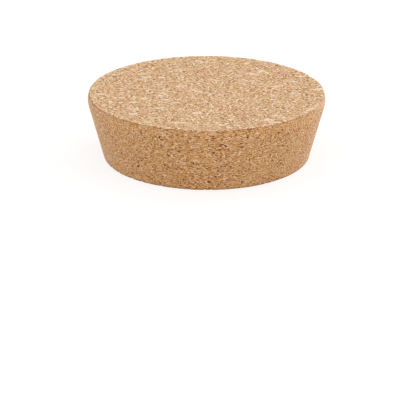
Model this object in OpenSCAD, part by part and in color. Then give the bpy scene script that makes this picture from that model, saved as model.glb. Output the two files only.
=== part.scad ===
// Stopper of pressed cork granules for the mouth of a wide jar.
//
// One turned and sanded disc with a tapered wall. It stands on its narrow face
// at z = 0, and +Z runs along its axis towards the wide face. The wall is
// straight from the narrow face up to the girth and turns in a little above
// it, and the corner round each face is barely worn.

/* [Body] */
// Diameter of the narrow face, which goes into the jar first
narrow_face_d = 70; // [50:1:78]
// Diameter at the girth, the widest place, just under the wide face
girth_d = 80; // [72:1:120]
// Height from the narrow face to the wide face
height = 22; // [12:1:60]

/* [Edges] */
// Height of the shoulder, from the girth up to the wide face
shoulder_h = 2.2; // [0.8:0.1:4]
// Radius of the shoulder, along which the wall turns in above the girth
shoulder_r = 6; // [4:0.5:12]
// Radius of the worn corner round each face
corner_r = 0.3; // [0.1:0.1:0.6]

/* [Smoothness] */
// Steps along the shoulder
shoulder_steps = 12; // [6:1:30]
// Steps round each worn corner
corner_steps = 4; // [2:1:10]
// Steps round the stopper in the preview
round_steps = 180; // [60:12:360]

/* [Hidden] */

narrow_r = narrow_face_d / 2;
cork_colour = [0.78, 0.62, 0.45];

// Centre of the shoulder's arc, as [distance from the axis, height]
shoulder_centre = [girth_d / 2 - shoulder_r, height - shoulder_h];

// The wall runs from the rim of the narrow face to where it meets the shoulder's
// arc without a corner. Its lean is measured outwards from upright.
rim_to_centre = shoulder_centre - [narrow_r, 0];
wall_lean = atan2(rim_to_centre.x, rim_to_centre.y) + asin(shoulder_r / norm(rim_to_centre));

// Centre of the corner between the narrow face and the wall
low_corner_centre = [
    narrow_r + corner_r * (tan(wall_lean) - 1 / cos(wall_lean)),
    corner_r
];

// The corner between the shoulder and the wide face lies inside the shoulder's
// arc and touches it at this angle above level.
rim_angle = asin((shoulder_h - corner_r) / (shoulder_r - corner_r));
high_corner_centre = [
    shoulder_centre.x + (shoulder_r - corner_r) * cos(rim_angle),
    height - corner_r
];

// Points of an arc about a centre, from one angle to another
function arc(centre, radius, from, to, steps) = [
    for (step = [0 : steps])
        let (angle = from + (to - from) * step / steps)
            centre + radius * [cos(angle), sin(angle)]
];

// Half of the stopper's section, to the right of the axis
module half_section() {
    polygon(concat(
        [[0, 0]],
        arc(low_corner_centre, corner_r, -90, -wall_lean, corner_steps),
        arc(shoulder_centre, shoulder_r, -wall_lean, rim_angle, shoulder_steps),
        arc(high_corner_centre, corner_r, rim_angle, 90, corner_steps),
        [[0, height]]
    ));
}

module stopper() {
    color(cork_colour)
        rotate_extrude($fn = round_steps)
            half_section();
}

stopper();
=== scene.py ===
"""A cork jar stopper, dressed: one turned disc of pressed cork granules on a pale studio floor.

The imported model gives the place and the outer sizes. The stopper's surface is rebuilt here as one
closed mesh on the same section, with the open pores, the nicked rims and the faint unevenness of
sanded cork in the mesh itself. Its finish is drawn in object space, so it runs through the solid
as the granules of the real material do.
"""

import logging
import math
from collections.abc import Mapping, Sequence
from dataclasses import dataclass, field
from enum import Enum

import bmesh
import bpy
import numpy as np
from mathutils import Matrix, Vector, kdtree, noise
from mathutils.geometry import delaunay_2d_cdt


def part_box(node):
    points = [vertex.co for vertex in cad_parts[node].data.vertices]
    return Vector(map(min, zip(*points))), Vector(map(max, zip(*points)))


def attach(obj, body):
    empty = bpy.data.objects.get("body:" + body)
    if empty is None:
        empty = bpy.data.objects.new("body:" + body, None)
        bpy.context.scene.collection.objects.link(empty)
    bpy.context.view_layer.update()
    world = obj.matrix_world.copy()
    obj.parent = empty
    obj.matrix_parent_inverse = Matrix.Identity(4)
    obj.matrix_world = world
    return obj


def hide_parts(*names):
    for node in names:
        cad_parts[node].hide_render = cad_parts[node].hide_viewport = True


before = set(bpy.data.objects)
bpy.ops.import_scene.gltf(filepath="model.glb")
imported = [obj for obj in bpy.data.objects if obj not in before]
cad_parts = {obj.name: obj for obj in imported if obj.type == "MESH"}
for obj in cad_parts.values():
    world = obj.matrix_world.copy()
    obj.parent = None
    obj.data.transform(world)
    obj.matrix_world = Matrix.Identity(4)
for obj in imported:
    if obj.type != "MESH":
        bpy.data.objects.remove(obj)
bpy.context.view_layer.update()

MM = 0.001  # a millimetre in Blender's metres
PER_METRE = 1000.0  # millimetres in a metre
SAME_SPOT = 1e-7  # millimetres within which the triangulation takes two points for one
SAME_POINT = 1e-3 * MM  # metres within which points of neighbouring surfaces are joined

log = logging.getLogger("cork_stopper")


def linear(hex_colour: str) -> tuple[float, float, float, float]:
    """Turn an sRGB hex colour into the linear colour that a shader socket takes.

    Args:
        hex_colour: The colour as "#RRGGBB".

    Returns:
        Linear red, green and blue, with an alpha of 1.
    """
    channels = []
    for place in (1, 3, 5):
        coded = int(hex_colour[place : place + 2], 16) / 255
        if coded <= 0.04045:
            channels.append(coded / 12.92)
        else:
            channels.append(((coded + 0.055) / 1.055) ** 2.4)
    return (channels[0], channels[1], channels[2], 1.0)


def add_node(
    tree: bpy.types.NodeTree,
    kind: str,
    settings: Mapping[str, object] | None = None,
    links: Mapping[int | str, object] | None = None,
    stops: Sequence[tuple[float, str]] = (),
) -> bpy.types.Node:
    """Add a node to a tree, with its settings, its inputs and its colour stops.

    Args:
        tree: The node tree that takes the node.
        kind: The node's type, such as "ShaderNodeMath".
        settings: The node's own properties by name.
        links: What each input gets, by its name or number: another node's output, or a value.
        stops: The places and hex colours of a colour ramp, from its low end up.

    Returns:
        The new node.
    """
    node = tree.nodes.new(kind)
    for name, value in (settings or {}).items():
        setattr(node, name, value)
    for key, source in (links or {}).items():
        if isinstance(source, bpy.types.NodeSocket):
            tree.links.new(source, node.inputs[key])
        else:
            node.inputs[key].default_value = source
    for number, (place, hex_colour) in enumerate(stops):
        elements = node.color_ramp.elements
        if number >= len(elements):
            elements.new(place)
        elements[number].position = place
        elements[number].color = linear(hex_colour)
    return node


class Surface(Enum):
    """The three surfaces of the stopper."""

    NARROW_FACE = "narrow face"
    WALL = "wall"
    WIDE_FACE = "wide face"


@dataclass(frozen=True)
class Section:
    """Half section of the stopper's wall, from the narrow face's rim to the wide face's.

    All lengths are in millimetres. The wall is straight up to the girth and then turns in along a
    shoulder, and each face ends in a corner rounded off in use.

    Attributes:
        girth_r: Radius at the girth, the widest place.
        height: Height from the narrow face to the wide face.
        narrow_r: Radius at which the wall's line meets the narrow face.
        shoulder_h: Height of the shoulder above the girth.
        shoulder_r: Radius of the shoulder's arc.
        corner_r: Radius of the corner round each face, rounded off in use.
        arc_steps: Number of steps in which each arc is sampled.
    """

    girth_r: float
    height: float
    narrow_r: float = 35.0
    shoulder_h: float = 2.2
    shoulder_r: float = 6.0
    corner_r: float = 0.3
    arc_steps: int = 24

    @property
    def lean(self) -> float:
        """Angle by which the wall leans outwards from upright, in radians."""
        across = self.girth_r - self.shoulder_r - self.narrow_r
        up = self.height - self.shoulder_h
        return math.atan2(across, up) + math.asin(self.shoulder_r / math.hypot(across, up))

    @property
    def rim_facing(self) -> float:
        """Angle above level at which the shoulder meets the wide face's corner, in radians."""
        return math.asin((self.shoulder_h - self.corner_r) / (self.shoulder_r - self.corner_r))

    @property
    def narrow_face_r(self) -> float:
        """Radius of the flat part of the narrow face."""
        return self.narrow_r + self.corner_r * (math.tan(self.lean) - 1 / math.cos(self.lean))

    @property
    def wide_face_r(self) -> float:
        """Radius of the flat part of the wide face."""
        shoulder_x = self.girth_r - self.shoulder_r
        return shoulder_x + (self.shoulder_r - self.corner_r) * math.cos(self.rim_facing)

    @property
    def low_corner(self) -> float:
        """Length of the narrow face's corner, along the section."""
        return self.corner_r * (math.pi / 2 - self.lean)

    @property
    def high_corner(self) -> float:
        """Length of the wide face's corner, along the section."""
        return self.corner_r * (math.pi / 2 - self.rim_facing)

    def samples(self) -> tuple[np.ndarray, np.ndarray, np.ndarray, np.ndarray]:
        """Sample the section finely, from the narrow face's rim upwards.

        Returns:
            Four arrays: the distance along the section, the distance from the axis, the height,
            and the angle of the outward normal above level in radians.
        """
        low_end, high_end, worn_r = -self.lean, self.rim_facing, self.corner_r
        shoulder_x, shoulder_z = self.girth_r - self.shoulder_r, self.height - self.shoulder_h
        arcs = (
            (self.narrow_face_r, worn_r, worn_r, -math.pi / 2, low_end),
            (shoulder_x, shoulder_z, self.shoulder_r, low_end, high_end),
            (self.wide_face_r, self.height - worn_r, worn_r, high_end, math.pi / 2),
        )
        facing = np.concatenate([np.linspace(low, high, self.arc_steps) for *_, low, high in arcs])
        centre_x, centre_z, arc_r = (
            np.repeat([arc[number] for arc in arcs], self.arc_steps) for number in range(3)
        )
        out = centre_x + arc_r * np.cos(facing)
        up = centre_z + arc_r * np.sin(facing)
        along = np.concatenate([[0.0], np.cumsum(np.hypot(np.diff(out), np.diff(up)))])
        return along, out, up, facing


@dataclass
class Patch:
    """A piece of the stopper's surface laid out flat, in millimetres.

    Attributes:
        surface: Which surface it covers.
        spots: The mesh points in the flat layout, one row each.
        depth: How far below the surface each point lies.
        pore: How deep in a pore each point lies, from 0 on the surface to 1 on the floor.
    """

    surface: Surface
    spots: np.ndarray
    depth: np.ndarray
    pore: np.ndarray


@dataclass(frozen=True)
class Pores:
    """Open pores between the granules, and how they are spread.

    Attributes:
        tried: How many pores are tried on a square centimetre. Fewer than half find room.
        apart_mm: Least distance between the centres of two pores.
        least_r: Least mean radius, in millimetres.
        most_r: Greatest mean radius, in millimetres.
        crowding: How far small pores outnumber large ones. At 1 all sizes are as common.
        depth_share: Depth as a share of the mean radius.
        depth_spread: Least and greatest share of that depth at any point.
        most_stretch: Greatest length as a share of the width.
        floor_share: Reach of the floor as a share of the edge's.
        wobble: Least and greatest share of its reach at any point of the outline.
        rim_points: Number of points round the edge of a pore.
        floor_points: Number of points round its floor.
        face_margin_mm: Least distance from a pore's centre to a face's rim.
        wall_margin_mm: Least distance from a pore's centre to the wall's rims.
        seam_margin_mm: Least distance from a pore's centre to the wall's seam at the back.
    """

    tried: float = 25.0
    apart_mm: float = 1.6
    least_r: float = 0.18
    most_r: float = 0.5
    crowding: float = 2.5
    depth_share: float = 0.9
    depth_spread: tuple[float, float] = (0.7, 1.1)
    most_stretch: float = 2.2
    floor_share: float = 0.58
    wobble: tuple[float, float] = (0.75, 1.2)
    rim_points: int = 9
    floor_points: int = 6
    face_margin_mm: float = 1.6
    wall_margin_mm: float = 1.3
    seam_margin_mm: float = 1.8

    def drawn(self, rng: np.random.Generator, places: np.ndarray) -> tuple[np.ndarray, ...]:
        """Draw the mesh points of a pore at each place.

        Args:
            rng: The random generator.
            places: Centres of the pores in the flat layout.

        Returns:
            The points, their depths, how deep in the pore each one is, and for each pore the
            matrix that turns an offset from its centre into a share of its reach and the
            longest reach in millimetres.
        """
        count = len(places)
        size = self.least_r + (self.most_r - self.least_r) * rng.random(count) ** self.crowding
        stretch = rng.uniform(1.0, self.most_stretch, count)
        heading = rng.uniform(0.0, math.pi, count)
        long_r, short_r = size * np.sqrt(stretch), size / np.sqrt(stretch)
        cosine, sine = np.cos(heading), np.sin(heading)
        spots, depths, inner = [], [], []
        rings = ((self.rim_points, 1.0), (self.floor_points, self.floor_share), (1, 0.0))
        for number, reach in rings:
            turn = rng.uniform(0.0, 2 * math.pi, (count, 1)) + np.arange(number) * 2 * math.pi / number
            reached = reach * rng.uniform(*self.wobble, (count, number))
            x = long_r[:, None] * reached * np.cos(turn)
            y = short_r[:, None] * reached * np.sin(turn)
            across = x * cosine[:, None] - y * sine[:, None]
            along = x * sine[:, None] + y * cosine[:, None]
            spots.append((places[:, None, :] + np.stack([across, along], -1)).reshape(-1, 2))
            sunk = 0.0 if reach == 1.0 else self.depth_share
            floor = np.broadcast_to(size[:, None] * sunk, (count, number))
            depths.append((floor * rng.uniform(*self.depth_spread, (count, number))).ravel())
            inner.append(np.full(count * number, 0.0 if reach == 1.0 else 1.0))
        shapes = np.empty((count, 2, 2))
        shapes[:, 0] = np.stack([cosine / long_r, sine / long_r], -1)
        shapes[:, 1] = np.stack([-sine / short_r, cosine / short_r], -1)
        return np.concatenate(spots), np.concatenate(depths), np.concatenate(inner), shapes, long_r


@dataclass(frozen=True)
class Lattice:
    """The loose lattice of mesh points between the pores.

    All but the spacing are shares of it.

    Attributes:
        spacing: Distance between neighbouring points, in millimetres.
        jitter: How far each point strays.
        clearance: Least distance from a point to a pore, and from a face's rim to the next ring.
        corner_row: Distance from a corner of the wall to the row of points beside it.
        face_inset: Distance from a face's rim to the lattice.
        low_inset: Distance from the wall's lower corner to the lattice.
        high_inset: Distance from the wall's upper corner to the lattice.
        seam_inset: Distance from the wall's seam to the lattice.
    """

    spacing: float = 0.62
    jitter: float = 0.22
    clearance: float = 0.45
    corner_row: float = 0.3
    face_inset: float = 1.1
    low_inset: float = 0.9
    high_inset: float = 0.8
    seam_inset: float = 0.6

    def points(self, rng: np.random.Generator, low: np.ndarray, high: np.ndarray) -> np.ndarray:
        """Lay the lattice over a rectangle.

        Args:
            rng: The random generator.
            low: Low corner of the rectangle.
            high: High corner of the rectangle.

        Returns:
            The lattice's points, each moved a little at random.
        """
        rows = np.arange(low[1], high[1], self.spacing * math.sqrt(3) / 2)
        columns = np.arange(low[0], high[0], self.spacing)
        x, y = np.meshgrid(columns, rows)
        x = x + (np.arange(len(rows)) % 2)[:, None] * self.spacing / 2
        level = np.stack([x.ravel(), y.ravel()], -1)
        stray = self.jitter * self.spacing
        return level + rng.uniform(-stray, stray, level.shape)


@dataclass(frozen=True)
class Nicks:
    """Small chips along a rim, where a granule has come away.

    Attributes:
        count: How many chips the rim has.
        least_r: Least reach of a chip, in millimetres.
        most_r: Greatest reach of a chip, in millimetres.
        depth_share: Depth as a share of the reach.
    """

    count: int
    least_r: float = 0.35
    most_r: float = 0.8
    depth_share: float = 0.3


@dataclass(frozen=True)
class Cut:
    """How the granules show where the cork is cut one way.

    Attributes:
        fine: How far neighbouring fine granules differ in tone.
        coarse: How far neighbouring coarse granules differ in tone.
        stroke: How far the few darkest and palest coarse granules stand out.
        worn: How much paler a painted highlight makes the cork at a face's rim.
        hue: How strongly the granules' hues show.
        flake: How fully a flake hides the grain.
        roughness: Roughness of the surface.
        tones: The tones from dark to pale, each with its place from 0 to 1.
    """

    fine: float
    coarse: float
    stroke: float
    worn: float
    hue: float
    flake: float
    roughness: float
    tones: tuple[tuple[float, str], ...]


# Sawn across the pressing and sanded: pale and even, with dark specks and pale slivers. Its paleness
# beside the wall is painted sheen, and its rim takes a painted highlight.
SANDED_FACE_WITH_PAINTED_SHEEN = Cut(
    fine=0.58,
    coarse=0.05,
    stroke=2.8,
    worn=0.1,
    hue=0.4,
    flake=0.75,
    roughness=0.85,
    tones=(
        (0.0, "#8C4400"),
        (0.25, "#B37A36"),
        (0.5, "#D3A674"),
        (0.75, "#EBCCA7"),
        (1.0, "#FFEFD2"),
    ),
)

# Turned along the pressing: golden brown, with the granules' thin edges as level dashes.
TURNED_WALL = Cut(
    fine=0.46,
    coarse=0.6,
    stroke=1.6,
    worn=0.0,
    hue=0.2,
    flake=0.22,
    roughness=0.5,
    tones=(
        (0.0, "#7E2E00"),
        (0.25, "#A96718"),
        (0.5, "#CB914A"),
        (0.75, "#E5B67A"),
        (1.0, "#FBDAB0"),
    ),
)


@dataclass(frozen=True)
class AgglomeratedCork:
    """Agglomerated cork: granules pressed flat with a binder, then cut and sanded.

    It gives the eye a warm, matt, fine grain. Each granule is set off against its neighbour, and
    because the granules lie flat they show as short level dashes. A few are far darker or paler
    than the rest. The pattern is drawn in space, so it runs through the solid and meets itself
    at the rims.

    Granules for stoppers measure 0.5 to 3 mm. The grain keeps to the fine end of that and the
    flakes to its coarse end, so nothing is drawn coarser than it is.

    Attributes:
        face: How the granules show on the two faces; their paler tones are painted sheen.
        wall: How they show on the wall.
        middle: Mean place on the tones, from 0 to 1.
        fine_mm: Width of the fine granules.
        coarse_mm: Width of the coarse granules.
        flatness: Thickness of a granule as a share of its width.
        stretch: Length of a granule from side to side as a share of its mean width.
        tilt: Turn of the granules' pattern against the axes, in radians, which hides its rows.
        ramble_mm: How far the granules' outlines wander.
        ramble_length_mm: Length of that wandering.
        flow_mm: Length of the slow waves in which the granules lie.
        flow_rise_mm: Height of those waves.
        patch_mm: Width of the patches that share a hue.
        patch_break: How far single granules leave the hue of their patch.
        hues: Tints of the granules, from reddish to yellowish.
        flake_mm: Width of the pale flakes of outer bark.
        flake_share: Share of the surface that they take.
        flake_tone: Their colour.
        pore_dust_and_shade_tone: Colour inside an open pore: brown cork dust, with painted shade of the
            hollow.
        pore_dust_and_shade_cover: How fast a pore takes that colour with its depth, so the painted
            shade deepens.
        relief_mm: Depth of the joints between the fine granules.
        ior: Refractive index of cork's waxy cell walls.
        gloss: Strength of the reflection that sanding leaves.
        bloom: Weight of the soft sheen from the fine dust of cut cells.
    """

    face: Cut = SANDED_FACE_WITH_PAINTED_SHEEN
    wall: Cut = TURNED_WALL
    middle: float = 0.53
    fine_mm: float = 0.6
    coarse_mm: float = 0.88
    flatness: float = 0.25
    stretch: float = 1.5
    tilt: tuple[float, float, float] = (0.6, 0.5, 0.7)
    ramble_mm: float = 0.3
    ramble_length_mm: float = 1.2
    flow_mm: float = 9.0
    flow_rise_mm: float = 1.2
    patch_mm: float = 2.2
    patch_break: float = 0.6
    hues: tuple[tuple[float, str], ...] = ((0.0, "#FFE4DE"), (1.0, "#FCFFE0"))
    flake_mm: float = 2.0
    flake_share: float = 0.03
    flake_tone: str = "#F2D9BE"
    pore_dust_and_shade_tone: str = "#7A380E"
    pore_dust_and_shade_cover: float = 1.5
    relief_mm: float = 0.08
    ior: float = 1.45
    gloss: float = 0.25
    bloom: float = 0.03

    def material(self) -> bpy.types.Material:
        """Build the cork's material.

        Returns:
            The material, drawn in object space in millimetres.
        """
        material = bpy.data.materials.new("agglomerated_cork_sanded")
        material.use_nodes = True
        tree = material.node_tree
        tree.nodes.clear()
        place = self.pressed(tree)
        fine, granules = self.contrasts(tree, place, self.fine_mm)
        coarse, _ = self.contrasts(tree, place, self.coarse_mm)
        # The cube leaves most granules alone and sets a few far off.
        stroke = add_node(tree, "ShaderNodeMath", {"operation": "POWER"}, {0: coarse[0], 1: 3.0})
        tint = self.tint(tree, place, fine[1])
        flake = self.flake(tree, place)
        # The third of these attributes paints a paler highlight along each face's rim.
        side, pore, worn = (
            add_node(
                tree, "ShaderNodeAttribute", {"attribute_type": "GEOMETRY", "attribute_name": name}
            ).outputs["Fac"]
            for name in ("side", "pore", "worn")
        )
        on_face, on_wall = (
            self.grain(tree, cut, (fine[0], coarse[0], stroke.outputs[0], worn), tint, flake)
            for cut in (self.face, self.wall)
        )
        # The faces' paler tones, blended in by the side attribute, are painted sheen.
        whole = add_node(
            tree, "ShaderNodeMix", {"data_type": "RGBA"}, {"Factor": side, 6: on_face, 7: on_wall}
        ).outputs[2]
        # A pore takes a dark brown with its depth: brown cork dust, deepened by painted shade in the
        # hollow. The same mix paints the shade along the wall's corners.
        cover = add_node(
            tree,
            "ShaderNodeMath",
            {"operation": "MULTIPLY", "use_clamp": True},
            {0: pore, 1: self.pore_dust_and_shade_cover},
        ).outputs[0]
        colour = add_node(
            tree,
            "ShaderNodeMix",
            {"data_type": "RGBA"},
            {"Factor": cover, 6: whole, 7: linear(self.pore_dust_and_shade_tone)},
        ).outputs[2]
        relief = add_node(
            tree,
            "ShaderNodeBump",
            {"invert": True},
            {
                "Strength": 1.0,
                "Distance": self.relief_mm * MM,
                "Height": granules.outputs["Distance"],
            },
        ).outputs["Normal"]
        roughness = add_node(
            tree,
            "ShaderNodeMix",
            {"data_type": "FLOAT"},
            {"Factor": side, 2: self.face.roughness, 3: self.wall.roughness},
        ).outputs[0]
        surface = add_node(
            tree,
            "ShaderNodeBsdfPrincipled",
            None,
            {
                "Base Color": colour,
                "Roughness": roughness,
                "IOR": self.ior,
                "Specular IOR Level": self.gloss,
                "Sheen Weight": self.bloom,
                "Normal": relief,
            },
        ).outputs["BSDF"]
        add_node(tree, "ShaderNodeOutputMaterial", None, {"Surface": surface})
        return material

    def pressed(self, tree: bpy.types.NodeTree) -> bpy.types.NodeSocket:
        """Give the place of each point as it was before the block was pressed.

        Granules are as thick as they are wide there, so they come out flat and level in the
        stopper. Slow waves bend their layers, and a quick wander roughens their outlines.

        Args:
            tree: The material's node tree.

        Returns:
            The place as a socket, in millimetres.
        """
        place = add_node(tree, "ShaderNodeTexCoord").outputs["Object"]
        in_mm = add_node(
            tree, "ShaderNodeVectorMath", {"operation": "SCALE"}, {0: place, "Scale": PER_METRE}
        ).outputs[0]
        flowing = self.bent(tree, in_mm, self.flow_mm, self.flow_rise_mm)
        swollen = add_node(
            tree,
            "ShaderNodeMapping",
            {"vector_type": "POINT"},
            {
                "Vector": flowing,
                "Scale": (1 / self.stretch, self.stretch, 1 / self.flatness),
                "Rotation": self.tilt,
            },
        ).outputs[0]
        return self.bent(tree, swollen, self.ramble_length_mm, self.ramble_mm)

    def bent(
        self, tree: bpy.types.NodeTree, place: bpy.types.NodeSocket, length: float, height: float
    ) -> bpy.types.NodeSocket:
        """Bend space in smooth random waves.

        Args:
            tree: The material's node tree.
            place: The place to bend, in millimetres.
            length: Length of the waves, in millimetres.
            height: Height of the waves, in millimetres.

        Returns:
            The bent place as a socket.
        """
        # A second octave keeps the waves from being all of one length. The noise runs from 0 to 1.
        waves = add_node(
            tree,
            "ShaderNodeTexNoise",
            None,
            {"Vector": place, "Scale": 1 / length, "Detail": 1.0, "Roughness": 0.6},
        ).outputs["Color"]
        return add_node(
            tree,
            "ShaderNodeVectorMath",
            {"operation": "MULTIPLY_ADD"},
            {0: waves, 1: (2 * height,) * 3, 2: place},
        ).outputs[0]

    def contrasts(
        self, tree: bpy.types.NodeTree, place: bpy.types.NodeSocket, size: float
    ) -> tuple[Sequence[bpy.types.NodeSocket], bpy.types.Node]:
        """Set each granule off against its nearest neighbour.

        Args:
            tree: The material's node tree.
            place: The place before pressing, in millimetres.
            size: Width of the granules, in millimetres.

        Returns:
            Three separate contrasts from -1 to 1 as sockets, and the node of the granules.
        """
        granule, neighbour = (
            add_node(
                tree, "ShaderNodeTexVoronoi", {"feature": feature}, {"Vector": place, "Scale": 1 / size}
            )
            for feature in ("F1", "F2")
        )
        difference = add_node(
            tree,
            "ShaderNodeVectorMath",
            {"operation": "SUBTRACT"},
            {0: granule.outputs["Color"], 1: neighbour.outputs["Color"]},
        ).outputs[0]
        return add_node(tree, "ShaderNodeSeparateXYZ", None, {0: difference}).outputs, granule

    def lot(
        self, tree: bpy.types.NodeTree, place: bpy.types.NodeSocket, size: float
    ) -> bpy.types.NodeSocket:
        """Draw a lot for each cell of space.

        Args:
            tree: The material's node tree.
            place: The place before pressing, in millimetres.
            size: Width of the cells, in millimetres.

        Returns:
            A socket from 0 to 1, the same all over a cell.
        """
        cell = add_node(tree, "ShaderNodeTexVoronoi", None, {"Vector": place, "Scale": 1 / size})
        drawn = add_node(tree, "ShaderNodeSeparateColor", None, {"Color": cell.outputs["Color"]})
        return drawn.outputs[1]

    def tint(
        self,
        tree: bpy.types.NodeTree,
        place: bpy.types.NodeSocket,
        contrast: bpy.types.NodeSocket,
    ) -> bpy.types.NodeSocket:
        """Choose a reddish or yellowish tint for each granule, mostly that of its patch.

        Args:
            tree: The material's node tree.
            place: The place before pressing, in millimetres.
            contrast: A contrast of the fine granules.

        Returns:
            The tint as a colour socket.
        """
        hue = add_node(
            tree,
            "ShaderNodeMath",
            {"operation": "MULTIPLY_ADD"},
            {0: contrast, 1: self.patch_break, 2: self.lot(tree, place, self.patch_mm)},
        ).outputs[0]
        return add_node(tree, "ShaderNodeValToRGB", None, {"Fac": hue}, self.hues).outputs["Color"]

    def flake(self, tree: bpy.types.NodeTree, place: bpy.types.NodeSocket) -> bpy.types.NodeSocket:
        """Pick the places of the pale flakes.

        Args:
            tree: The material's node tree.
            place: The place before pressing, in millimetres.

        Returns:
            A socket that is 1 on a flake and 0 elsewhere.
        """
        return add_node(
            tree,
            "ShaderNodeMath",
            {"operation": "LESS_THAN"},
            {0: self.lot(tree, place, self.flake_mm), 1: self.flake_share},
        ).outputs[0]

    def grain(
        self,
        tree: bpy.types.NodeTree,
        cut: Cut,
        contrasts: Sequence[bpy.types.NodeSocket],
        tint: bpy.types.NodeSocket,
        flake: bpy.types.NodeSocket,
    ) -> bpy.types.NodeSocket:
        """Colour the grain as one cut shows it.

        Args:
            tree: The material's node tree.
            cut: How the granules show.
            contrasts: The fine contrast, the coarse one, the strokes and the painted highlight at the
                rim.
            tint: The granules' tint.
            flake: A socket that is 1 on a flake.

        Returns:
            The colour as a socket.
        """
        tone = self.middle
        for contrast, strength in zip(contrasts, (cut.fine, cut.coarse, cut.stroke, cut.worn)):
            tone = add_node(
                tree,
                "ShaderNodeMath",
                {"operation": "MULTIPLY_ADD"},
                {0: contrast, 1: strength, 2: tone},
            ).outputs[0]
        plain = add_node(tree, "ShaderNodeValToRGB", None, {"Fac": tone}, cut.tones)
        tinted = add_node(
            tree,
            "ShaderNodeMix",
            {"data_type": "RGBA", "blend_type": "MULTIPLY"},
            {"Factor": cut.hue, 6: plain.outputs["Color"], 7: tint},
        ).outputs[2]
        cover = add_node(
            tree, "ShaderNodeMath", {"operation": "MULTIPLY"}, {0: flake, 1: cut.flake}
        ).outputs[0]
        return add_node(
            tree,
            "ShaderNodeMix",
            {"data_type": "RGBA"},
            {"Factor": cover, 6: tinted, 7: linear(self.flake_tone)},
        ).outputs[2]


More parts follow.
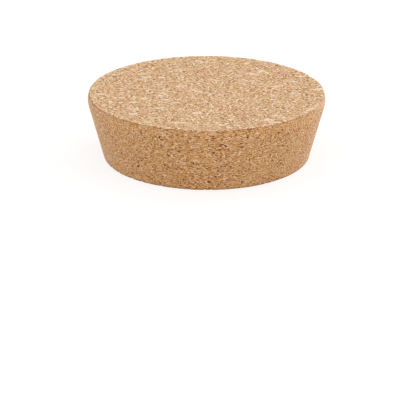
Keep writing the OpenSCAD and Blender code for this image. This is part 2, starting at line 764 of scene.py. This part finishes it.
@dataclass
class CorkStopper:
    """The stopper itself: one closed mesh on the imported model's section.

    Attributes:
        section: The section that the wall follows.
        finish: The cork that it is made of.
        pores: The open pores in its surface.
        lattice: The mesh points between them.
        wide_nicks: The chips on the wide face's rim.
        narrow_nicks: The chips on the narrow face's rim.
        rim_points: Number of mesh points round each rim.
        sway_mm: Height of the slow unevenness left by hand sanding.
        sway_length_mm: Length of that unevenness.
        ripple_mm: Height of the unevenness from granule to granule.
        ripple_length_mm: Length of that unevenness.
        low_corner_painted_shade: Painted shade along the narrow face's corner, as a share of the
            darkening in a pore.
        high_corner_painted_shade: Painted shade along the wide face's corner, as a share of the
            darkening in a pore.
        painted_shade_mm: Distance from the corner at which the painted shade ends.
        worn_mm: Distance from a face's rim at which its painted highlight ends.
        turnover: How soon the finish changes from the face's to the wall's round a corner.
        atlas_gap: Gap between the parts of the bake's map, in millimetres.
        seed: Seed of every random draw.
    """

    section: Section
    finish: AgglomeratedCork = field(default_factory=AgglomeratedCork)
    pores: Pores = field(default_factory=Pores)
    lattice: Lattice = field(default_factory=Lattice)
    wide_nicks: Nicks = field(default_factory=lambda: Nicks(46))
    narrow_nicks: Nicks = field(default_factory=lambda: Nicks(34))
    rim_points: int = 720
    sway_mm: float = 0.06
    sway_length_mm: float = 9.0
    ripple_mm: float = 0.035
    ripple_length_mm: float = 1.3
    low_corner_painted_shade: float = 0.26
    high_corner_painted_shade: float = 0.2
    painted_shade_mm: float = 0.5
    worn_mm: float = 1.2
    turnover: float = 1.75
    atlas_gap: float = 1.0
    seed: int = 7

    def __post_init__(self) -> None:
        """Sample the section and seed the random draws."""
        self.samples = self.section.samples()
        self.wall_length = float(self.samples[0][-1])
        self.rng = np.random.default_rng(self.seed)

    def spread(self, low: np.ndarray, high: np.ndarray) -> np.ndarray:
        """Scatter the centres of pores over a rectangle, none too close to another.

        Args:
            low: Low corner of the rectangle.
            high: High corner of the rectangle.

        Returns:
            The centres that found room.
        """
        gap = self.pores.apart_mm
        square_cm = float(np.prod(high - low)) / 100
        thrown = self.rng.uniform(low, high, (int(self.pores.tried * square_cm), 2))
        kept: list[np.ndarray] = []
        cells: dict[tuple[int, int], list[np.ndarray]] = {}
        for spot in thrown:
            column, row = int(spot[0] // gap), int(spot[1] // gap)
            near = [
                other
                for across in (-1, 0, 1)
                for along in (-1, 0, 1)
                for other in cells.get((column + across, row + along), ())
            ]
            if all(np.hypot(*(spot - other)) >= gap for other in near):
                kept.append(spot)
                cells.setdefault((column, row), []).append(spot)
        return np.array(kept)

    def pitted(self, surface: Surface, edge: np.ndarray, fill: np.ndarray, places: np.ndarray) -> Patch:
        """Set pores into a flat layout.

        Args:
            surface: Which surface the layout covers.
            edge: Points on and near the rims, which stay where they are.
            fill: Points of the open surface, which give way to the pores.
            places: Centres of the pores.

        Returns:
            The patch with its pores.
        """
        spots, depth, pore, shapes, reach = self.pores.drawn(self.rng, places)
        tree = kdtree.KDTree(len(fill))
        for number, spot in enumerate(fill):
            tree.insert((spot[0], spot[1], 0.0), number)
        tree.balance()
        keep = np.ones(len(fill), bool)
        clear = self.lattice.clearance * self.lattice.spacing
        widest = self.pores.wobble[1]
        for place, shape, long_r in zip(places, shapes, reach):
            for _, number, _ in tree.find_range((*place, 0.0), widest * long_r + clear):
                offset = fill[number] - place
                share = float(np.hypot(*(shape @ offset)))
                distance = float(np.hypot(*offset))
                if distance * (share - widest) < clear * share:
                    keep[number] = False
        plain = np.concatenate([edge, fill[keep]])
        return Patch(
            surface,
            np.concatenate([plain, spots]),
            np.concatenate([np.zeros(len(plain)), depth]),
            np.concatenate([np.zeros(len(plain)), pore]),
        )

    def disc(self, surface: Surface, radius: float) -> Patch:
        """Lay out a face as a disc.

        Args:
            surface: Which face it is.
            radius: Radius of the face's flat part.

        Returns:
            The face's patch.
        """
        turn = np.arange(self.rim_points) * 2 * math.pi / self.rim_points
        ring = np.stack([np.cos(turn), np.sin(turn)], -1)
        half_turn = turn + math.pi / self.rim_points
        inner = np.stack([np.cos(half_turn), np.sin(half_turn)], -1)
        lattice = self.lattice
        inner_r = radius - lattice.clearance * lattice.spacing
        edge = np.concatenate([ring * radius, inner * inner_r])
        corner = np.array([radius, radius])
        fill = lattice.points(self.rng, -corner, corner)
        fill = fill[np.hypot(*fill.T) < radius - lattice.face_inset * lattice.spacing]
        places = self.spread(-corner, corner)
        places = places[np.hypot(*places.T) < radius - self.pores.face_margin_mm]
        return self.pitted(surface, edge, fill, places)

    def wall(self) -> Patch:
        """Lay out the wall as a strip that is as long as the girth, cut open at the back."""
        half = math.pi * self.section.girth_r
        length = self.wall_length
        lattice, spacing = self.lattice, self.lattice.spacing
        turn = np.linspace(-half, half, self.rim_points + 1)
        low, high = self.section.low_corner, self.section.high_corner
        beside = lattice.corner_row * spacing
        rows = [0.0, low / 2, low, low + beside]
        rows += [length - row for row in (0.0, high / 2, high, high + beside)]
        edge = [np.stack([turn, np.full_like(turn, row)], -1) for row in rows]
        inside = np.arange(low + spacing, length - high - spacing / 2, spacing)
        edge += [np.stack([np.full_like(inside, end), inside], -1) for end in (-half, half)]
        side = half - lattice.seam_inset * spacing
        fill = lattice.points(
            self.rng,
            np.array([-side, low + lattice.low_inset * spacing]),
            np.array([side, length - high - lattice.high_inset * spacing]),
        )
        fill = fill[(fill[:, 0] < side) & (fill[:, 0] > -side)]
        across = half - self.pores.seam_margin_mm
        rim_margin = self.pores.wall_margin_mm
        places = self.spread(
            np.array([-across, low + rim_margin]),
            np.array([across, length - high - rim_margin]),
        )
        return self.pitted(Surface.WALL, np.concatenate(edge), fill, places)

    def placed(self, patch: Patch) -> tuple[np.ndarray, np.ndarray]:
        """Wrap a patch on to the stopper.

        Args:
            patch: The patch.

        Returns:
            Each point's place on the undisturbed surface, and the outward normal there.
        """
        if patch.surface is Surface.WALL:
            along, out, up, facing = self.samples
            turn = patch.spots[:, 0] / self.section.girth_r + math.pi / 2
            radius = np.interp(patch.spots[:, 1], along, out)
            height = np.interp(patch.spots[:, 1], along, up)
            tilt = np.interp(patch.spots[:, 1], along, facing)
            round_x, round_y = -np.sin(turn), np.cos(turn)
            place = np.stack([radius * round_x, radius * round_y, height], -1)
            normal = np.stack([np.cos(tilt) * round_x, np.cos(tilt) * round_y, np.sin(tilt)], -1)
            return place, normal
        is_wide = patch.surface is Surface.WIDE_FACE
        level = self.section.height if is_wide else 0.0
        place = np.column_stack([patch.spots, np.full(len(patch.spots), level)])
        normal = np.zeros_like(place)
        normal[:, 2] = 1.0 if is_wide else -1.0
        return place, normal

    def in_atlas(self, patch: Patch, corners: np.ndarray) -> np.ndarray:
        """Give the corners of a patch's triangles their places in the bake's square map.

        The two faces lie side by side, and the wall lies above them in two halves.

        Args:
            patch: The patch.
            corners: The patch's triangles, as rows of three point numbers.

        Returns:
            Map coordinates from 0 to 1, three for each triangle.
        """
        gap, girth_r, narrow_r = self.atlas_gap, self.section.girth_r, self.section.narrow_r
        side = 2 * girth_r + 2 * narrow_r + 3 * gap
        spots = patch.spots[corners]
        if patch.surface is Surface.WIDE_FACE:
            origin = np.array([gap + girth_r, gap + girth_r])
        elif patch.surface is Surface.NARROW_FACE:
            origin = np.array([2 * gap + 2 * girth_r + narrow_r, gap + narrow_r])
        else:
            half = math.pi * girth_r
            in_second = spots[:, :, 0].mean(axis=1) > 0.0
            origin = np.zeros((len(corners), 1, 2))
            origin[:, 0, 0] = np.where(in_second, gap, gap + half)
            first_row = 2 * gap + 2 * girth_r
            origin[:, 0, 1] = np.where(in_second, first_row, first_row + gap + self.wall_length)
        return ((spots + origin) / side).reshape(-1, 2)

    def chipped(self, place: np.ndarray, nicks: Nicks, radius: float, level: float) -> np.ndarray:
        """Work out how far each point near a rim is pushed in by the rim's chips.

        Args:
            place: The points of the undisturbed surface.
            nicks: The chips.
            radius: Radius of the rim.
            level: Height of the rim.

        Returns:
            The push on each point, as vectors.
        """
        push = np.zeros_like(place)
        down = -1.0 if level > 0.0 else 1.0
        turns = self.rng.uniform(0.0, 2 * math.pi, nicks.count)
        reaches = nicks.least_r + (nicks.most_r - nicks.least_r) * self.rng.random(nicks.count) ** 2
        for turn, reach in zip(turns, reaches):
            centre = np.array([radius * math.cos(turn), radius * math.sin(turn), level])
            inwards = np.array([-math.cos(turn), -math.sin(turn), down]) / math.sqrt(2)
            share = np.clip(1 - (np.linalg.norm(place - centre, axis=1) / reach) ** 2, 0.0, 1.0)
            push += (nicks.depth_share * reach * share**2)[:, None] * inwards
        return push

    def uneven(self, place: np.ndarray) -> np.ndarray:
        """Work out the surface's faint unevenness.

        Args:
            place: The points of the undisturbed surface.

        Returns:
            How far out each point moves, in millimetres.
        """
        lift = np.empty(len(place))
        for number, spot in enumerate(place):
            slow = noise.noise(Vector(spot / self.sway_length_mm))
            quick = noise.noise(Vector(spot / self.ripple_length_mm))
            lift[number] = self.sway_mm * slow + self.ripple_mm * quick
        return lift

    def painted_corner_shade(self, patch: Patch) -> np.ndarray:
        """Work out how far the painted shade darkens each point of the wall along its two corners.

        Args:
            patch: The patch.

        Returns:
            The painted shade as a share of the darkening in a pore.
        """
        dark = np.zeros(len(patch.spots))
        if patch.surface is not Surface.WALL:
            return dark
        for line, strength in (
            (self.section.low_corner, self.low_corner_painted_shade),
            (self.wall_length - self.section.high_corner, self.high_corner_painted_shade),
        ):
            away = np.abs(patch.spots[:, 1] - line)
            dark += strength * np.clip(1 - away / self.painted_shade_mm, 0.0, 1.0)
        return dark

    def worn(self, patch: Patch) -> np.ndarray:
        """Work out how strongly each point of a face takes the painted highlight along its rim.

        Args:
            patch: The patch.

        Returns:
            The painted highlight, from 0 on the open face to 1 at the rim.
        """
        if patch.surface is Surface.WALL:
            return np.zeros(len(patch.spots))
        out = np.hypot(*patch.spots.T)
        return np.clip(1 - (out.max() - out) / self.worn_mm, 0.0, 1.0)

    def mesh(self) -> bpy.types.Mesh:
        """Build the closed mesh from its three patches.

        Returns:
            The mesh in metres, with its map and its shading attributes.
        """
        places, corners, maps, pores, sides, rim_highlights = [], [], [], [], [], []
        count = 0
        patches = (
            self.disc(Surface.NARROW_FACE, self.section.narrow_face_r),
            self.wall(),
            self.disc(Surface.WIDE_FACE, self.section.wide_face_r),
        )
        for patch in patches:
            spots = [Vector(spot) for spot in patch.spots]
            _, _, faces, sources, _, _ = delaunay_2d_cdt(spots, [], [], 0, SAME_SPOT, True)
            number_of = np.array([source[0] for source in sources])
            triangles = number_of[np.array(faces)]
            if patch.surface is Surface.NARROW_FACE:
                triangles = triangles[:, ::-1]
            place, normal = self.placed(patch)
            lift = self.uneven(place) * (patch.depth == 0.0) - patch.depth
            places.append(place + normal * lift[:, None])
            corners.append(triangles + count)
            maps.append(self.in_atlas(patch, triangles))
            # The pore attribute also carries painted shade along the wall's two corners.
            pores.append(patch.pore + self.painted_corner_shade(patch))
            sides.append(np.clip(self.turnover * np.hypot(*normal[:, :2].T), 0.0, 1.0))
            # Each face takes a painted highlight along its rim.
            rim_highlights.append(self.worn(patch))
            count += len(place)
        section = self.section
        place = np.concatenate(places)
        place = place + self.chipped(place, self.wide_nicks, section.wide_face_r, section.height)
        place = place + self.chipped(place, self.narrow_nicks, section.narrow_face_r, 0.0)
        # The stopper rests on its narrow face, so that face's high spots are sanded level.
        place[:, 2] = np.maximum(place[:, 2], 0.0)

        mesh = bpy.data.meshes.new("cork_stopper")
        mesh.from_pydata((place * MM).tolist(), [], np.concatenate(corners).tolist())
        atlas = mesh.uv_layers.new(name="OFBake")
        atlas.uv.foreach_set("vector", np.concatenate(maps).astype(np.float32).ravel())
        for name, values in (("pore", pores), ("side", sides), ("worn", rim_highlights)):
            attribute = mesh.attributes.new(name, "FLOAT", "POINT")
            attribute.data.foreach_set("value", np.concatenate(values).astype(np.float32))
        editable = bmesh.new()
        editable.from_mesh(mesh)
        bmesh.ops.remove_doubles(editable, verts=editable.verts, dist=SAME_POINT)
        editable.to_mesh(mesh)
        editable.free()
        mesh.shade_smooth()
        mesh.update()
        return mesh

    def build(self) -> bpy.types.Object:
        """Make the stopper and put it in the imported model's place.

        Returns:
            The stopper's object.
        """
        piece = bpy.data.objects.new("cork_stopper", self.mesh())
        bpy.context.scene.collection.objects.link(piece)
        piece.data.materials.append(self.finish.material())
        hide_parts("stopper")
        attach(piece, "root")
        return piece


@dataclass(frozen=True)
class SoftBox:
    """A large soft lamp.

    Attributes:
        name: The lamp's name.
        place: Where it hangs, in metres.
        size: Its width and height, in metres.
        power: Its power, in watts.
    """

    name: str
    place: tuple[float, float, float]
    size: tuple[float, float]
    power: float

    def build(self, target: Vector) -> bpy.types.Object:
        """Hang the lamp so that it faces a target.

        Args:
            target: The point that it faces.

        Returns:
            The lamp's object.
        """
        lamp = bpy.data.lights.new(self.name, "AREA")
        lamp.shape = "RECTANGLE"
        lamp.size, lamp.size_y = self.size
        lamp.energy = self.power
        holder = bpy.data.objects.new(self.name, lamp)
        holder.location = self.place
        aim = target - Vector(self.place)
        holder.rotation_euler = aim.to_track_quat("-Z", "Y").to_euler()
        bpy.context.scene.collection.objects.link(holder)
        return holder


def seen_directly(tree: bpy.types.NodeTree) -> bpy.types.NodeSocket:
    """Tell rays that show the background from rays that light the stopper.

    Args:
        tree: The node tree that needs it.

    Returns:
        A socket that is 1 for camera, mirror and glass rays, and 0 for the others.
    """
    path = add_node(tree, "ShaderNodeLightPath")
    shown = path.outputs["Is Camera Ray"]
    for kind in ("Is Glossy Ray", "Is Transmission Ray"):
        shown = add_node(
            tree, "ShaderNodeMath", {"operation": "MAXIMUM"}, {0: shown, 1: path.outputs[kind]}
        ).outputs[0]
    return shown


@dataclass(frozen=True)
class WhitePaper:
    """Matt white backdrop paper, smooth and unprinted.

    It gives the eye an even white without a horizon, on which the stopper's shadow stays faint.
    Only its own look is lifted to white: the light that it throws on the stopper is that of plain
    pale paper.

    Attributes:
        tone: Colour with which it lights the stopper.
        shaded: Colour of the part of it that takes the shadow, where it is seen.
        glow: Strength of the even white that is added there.
    """

    tone: str = "#E7E7E7"
    shaded: str = "#959595"
    glow: float = 0.75

    def material(self) -> bpy.types.Material:
        """Build the paper's material.

        Returns:
            The material.
        """
        material = bpy.data.materials.new("backdrop_paper_matt")
        material.use_nodes = True
        tree = material.node_tree
        tree.nodes.clear()
        lighting = add_node(tree, "ShaderNodeBsdfDiffuse", None, {"Color": linear(self.tone)})
        shaded = add_node(tree, "ShaderNodeBsdfDiffuse", None, {"Color": linear(self.shaded)})
        white = add_node(tree, "ShaderNodeEmission", None, {"Strength": self.glow})
        seen = add_node(
            tree, "ShaderNodeAddShader", None, {0: shaded.outputs[0], 1: white.outputs[0]}
        )
        surface = add_node(
            tree,
            "ShaderNodeMixShader",
            None,
            {0: seen_directly(tree), 1: lighting.outputs[0], 2: seen.outputs[0]},
        )
        add_node(tree, "ShaderNodeOutputMaterial", None, {"Surface": surface.outputs[0]})
        return material


@dataclass(frozen=True)
class Studio:
    """The pale floor, the soft light and the camera.

    Attributes:
        paper: The paper that the floor is laid with.
        floor_m: Width of the floor.
        surround: Strength of the light from all round.
        lamps: The soft boxes.
        lens_mm: Focal length of the camera's lens.
        sensor_mm: Width of its sensor.
        distance_mm: Distance from the camera to the stopper's centre.
        elevation_deg: Height of the camera above level, seen from the stopper's centre.
        dip_deg: How far the camera dips below the stopper's centre, which stands high in the frame.
        pan_deg: How far the camera is turned to the right of the stopper's centre.
        roll_deg: How far the camera is turned about its own axis.
    """

    paper: WhitePaper = WhitePaper()
    floor_m: float = 6.0
    surround: float = 0.82
    lamps: tuple[SoftBox, ...] = (
        SoftBox("overhead_soft_box", (-0.1, 0.25, 1.1), (1.0, 1.0), 0.45),
        SoftBox("front_soft_box", (0.0, -1.0, 0.55), (0.8, 0.6), 0.9),
        SoftBox("right_soft_box", (0.95, -0.45, 0.45), (0.7, 0.6), 1.4),
        SoftBox("left_soft_box", (-1.0, 0.1, 0.4), (0.7, 0.6), 1.3),
        SoftBox("right_rim_soft_box", (0.8, 0.75, 0.2), (0.6, 0.4), 5.5),
    )
    lens_mm: float = 150.0
    sensor_mm: float = 36.0
    distance_mm: float = 586.6
    elevation_deg: float = 19.6
    dip_deg: float = 2.827
    pan_deg: float = 0.026
    roll_deg: float = 0.2

    def floor(self) -> bpy.types.Object:
        """Lay the pale floor.

        Returns:
            The floor's object.
        """
        half = self.floor_m / 2
        corners = [(-half, -half, 0.0), (half, -half, 0.0), (half, half, 0.0), (-half, half, 0.0)]
        mesh = bpy.data.meshes.new("studio_floor")
        mesh.from_pydata(corners, [], [(0, 1, 2, 3)])
        mesh.materials.append(self.paper.material())
        floor = bpy.data.objects.new("studio_floor", mesh)
        bpy.context.scene.collection.objects.link(floor)
        return floor

    def light(self) -> None:
        """Light the stopper softly from all round and from the lamps."""
        world = bpy.data.worlds.new("studio")
        world.use_nodes = True
        tree = world.node_tree
        tree.nodes.clear()
        white = linear("#FFFFFF")
        # Where the background is seen, a strength of 1 is white.
        surround, shown = (
            add_node(tree, "ShaderNodeBackground", None, {"Color": white, "Strength": strength})
            for strength in (self.surround, 1.0)
        )
        mixed = add_node(
            tree,
            "ShaderNodeMixShader",
            None,
            {0: seen_directly(tree), 1: surround.outputs[0], 2: shown.outputs[0]},
        )
        add_node(tree, "ShaderNodeOutputWorld", None, {"Surface": mixed.outputs[0]})
        bpy.context.scene.world = world
        low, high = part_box("stopper")
        for lamp in self.lamps:
            lamp.build((low + high) / 2)

    def camera(self) -> bpy.types.Object:
        """Set up the camera.

        Returns:
            The camera's object.
        """
        low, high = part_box("stopper")
        lens = bpy.data.cameras.new("studio_camera")
        lens.lens = self.lens_mm
        lens.sensor_width = self.sensor_mm
        camera = bpy.data.objects.new("studio_camera", lens)
        rise = math.radians(self.elevation_deg)
        distance = self.distance_mm * MM
        back = Vector((0.0, -math.cos(rise), math.sin(rise))) * distance
        down = math.radians(self.elevation_deg + self.dip_deg)
        turn = Matrix.Rotation(math.radians(-self.pan_deg), 3, "Z")
        turn = turn @ Matrix.Rotation(math.pi / 2 - down, 3, "X")
        turn = turn @ Matrix.Rotation(math.radians(self.roll_deg), 3, "Z")
        camera.location = (low + high) / 2 + back
        camera.rotation_euler = turn.to_euler()
        bpy.context.scene.collection.objects.link(camera)
        bpy.context.scene.camera = camera
        return camera


def main() -> None:
    """Build the studio and the stopper, and log each piece."""
    logging.basicConfig(level=logging.INFO, format="%(message)s")
    bpy.context.scene.view_settings.view_transform = "Standard"
    studio = Studio()
    studio.camera()
    studio.floor()
    studio.light()
    low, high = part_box("stopper")
    section = Section(
        girth_r=(high.x - low.x) / 2 * PER_METRE, height=(high.z - low.z) * PER_METRE
    )
    piece = CorkStopper(section).build()
    mesh = piece.data
    log.info("%s: %d points, %d triangles", piece.name, len(mesh.vertices), len(mesh.polygons))


if __name__ == "__main__":
    main()
